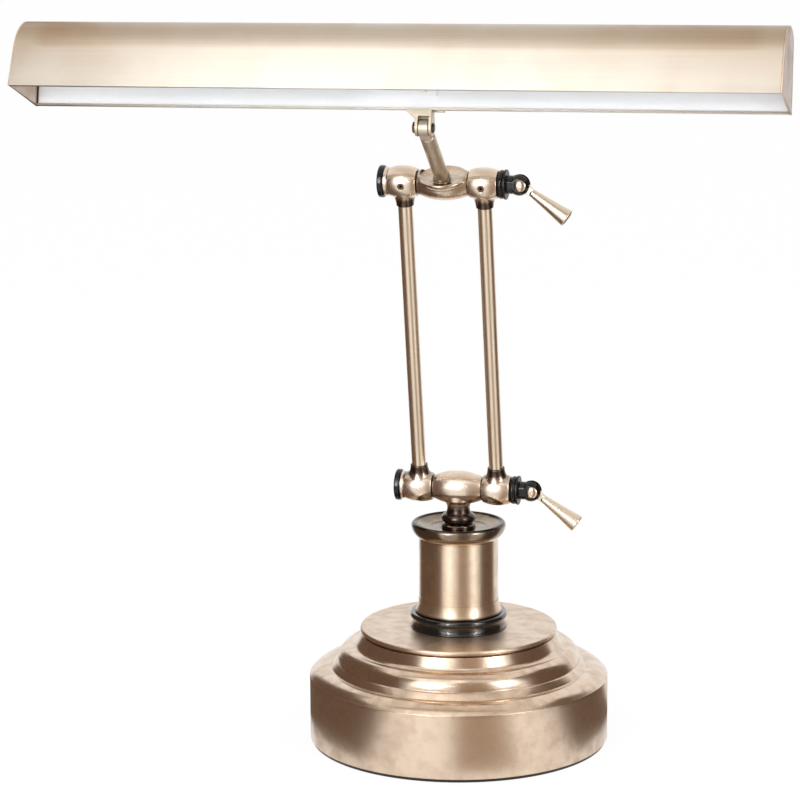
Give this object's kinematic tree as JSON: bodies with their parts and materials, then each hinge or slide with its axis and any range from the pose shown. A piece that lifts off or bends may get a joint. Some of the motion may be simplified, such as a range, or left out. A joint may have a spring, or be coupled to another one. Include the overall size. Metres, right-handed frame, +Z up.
{
  "type": "piano lamp",
  "caption": "Lamp with a weighted round base, a swivelling friction-jointed arm of twin tubes, folding clamp levers and a long trough shade that tilts on a stem.",
  "frame": {"origin": "centre of the base pad's underside, on the table", "axes": "+Z up along the base and column; +X along both knuckles towards their clamp keys; the lamp leans towards -Y, and the cord inlet faces +Y"},
  "size_m": [0.3564, 0.1822, 0.3627],
  "materials": {
    "antique_brass": "brushed, mottled antique lacquer",
    "black_enamel": "gloss black",
    "bright_steel": "zinc plated, turned",
    "grey_iron": "as cast, dark paint",
    "black_felt": "felt",
    "black_nylon": "moulded",
    "white_enamel": "satin white",
    "bulb_glass": "clear",
    "bulb_cap": "drawn"
  },
  "bodies": {
    "base": {"base_pad": "black_felt", "base_shell": "antique_brass", "base_weight": "grey_iron", "threaded_rod": "bright_steel", "rod_washer": "bright_steel", "rod_nut": "bright_steel", "cord_bushing": "black_nylon", "switch_body": "black_nylon", "switch_nut": "bright_steel", "column_ring": "black_enamel", "column_foot": "antique_brass", "column_tube": "antique_brass", "column_cap": "antique_brass", "swivel_socket": "antique_brass"},
    "neck": {"lower_hub": "antique_brass", "swivel_spindle": "bright_steel", "swivel_clip": "bright_steel"},
    "arm": {"lower_left_barrel": "antique_brass", "lower_right_barrel": "antique_brass", "upper_left_barrel": "antique_brass", "upper_right_barrel": "antique_brass", "left_arm_tube": "antique_brass", "right_arm_tube": "antique_brass", "lower_clamp_bolt": "bright_steel", "upper_clamp_bolt": "bright_steel", "lower_end_cap": "black_enamel", "upper_end_cap": "black_enamel", "lower_collar": "antique_brass", "upper_collar": "antique_brass", "lower_friction_ring": "black_enamel", "upper_friction_ring": "black_enamel", "lower_thrust_washer": "bright_steel", "upper_thrust_washer": "bright_steel", "lower_set_screws": "bright_steel", "upper_set_screws": "bright_steel"},
    "lower_key": {"lower_key_head": "black_enamel", "lower_key_pin": "antique_brass"},
    "lower_lever": {"lower_key_lever": "antique_brass"},
    "upper_key": {"upper_key_head": "black_enamel", "upper_key_pin": "antique_brass"},
    "upper_lever": {"upper_key_lever": "antique_brass"},
    "stem": {"upper_hub": "antique_brass", "stem_tube": "antique_brass", "stem_head": "antique_brass"},
    "shade": {"shade_bracket": "antique_brass", "bracket_screws": "antique_brass", "tilt_screw": "antique_brass", "tilt_nut": "antique_brass", "shade_body": "antique_brass", "left_end_cap": "antique_brass", "right_end_cap": "antique_brass", "reflector": "white_enamel", "socket_bridge": "bright_steel", "left_lampholder": "black_nylon", "right_lampholder": "black_nylon", "left_bulb_cap": "bulb_cap", "right_bulb_cap": "bulb_cap", "left_bulb_glass": "bulb_glass", "right_bulb_glass": "bulb_glass"},
    "switch_knob": {"switch_knob": "antique_brass"}
  },
  "joints": [
    {"name": "neck_swivel", "type": "hinge", "parent": "base", "child": "neck", "pos_m": [0, 0, 0.105], "axis": [0, 0, 1], "range_deg": [-170, 170]},
    {"name": "lower_arm", "type": "hinge", "parent": "neck", "child": "arm", "pos_m": [0, 0, 0.1275], "axis": [1, 0, 0], "range_deg": [-56, 63]},
    {"name": "upper_arm", "type": "hinge", "parent": "arm", "child": "stem", "pos_m": [0, -0.0309, 0.28214], "axis": [1, 0, 0], "range_deg": [-80, 65]},
    {"name": "shade_tilt", "type": "hinge", "parent": "stem", "child": "shade", "pos_m": [0, -0.07067, 0.31277], "axis": [1, 0, 0], "range_deg": [-40, 60]},
    {"name": "lower_key_turn", "type": "hinge", "parent": "arm", "child": "lower_key", "pos_m": [0.035, 0, 0.1275], "axis": [1, 0, 0], "continuous": true},
    {"name": "upper_key_turn", "type": "hinge", "parent": "arm", "child": "upper_key", "pos_m": [0.035, -0.0309, 0.28214], "axis": [1, 0, 0], "continuous": true},
    {"name": "lower_lever_fold", "type": "hinge", "parent": "lower_key", "child": "lower_lever", "pos_m": [0.0373, 0, 0.1275], "axis": [0, 1, 0], "range_deg": [-125, 55]},
    {"name": "upper_lever_fold", "type": "hinge", "parent": "upper_key", "child": "upper_lever", "pos_m": [0.0373, -0.0309, 0.28214], "axis": [0, 1, 0], "range_deg": [-125, 55]},
    {"name": "switch_turn", "type": "hinge", "parent": "base", "child": "switch_knob", "pos_m": [-0.0408, 0.0653, 0.0165], "axis": [-0.5299, 0.848, 0], "continuous": true}
  ]
}
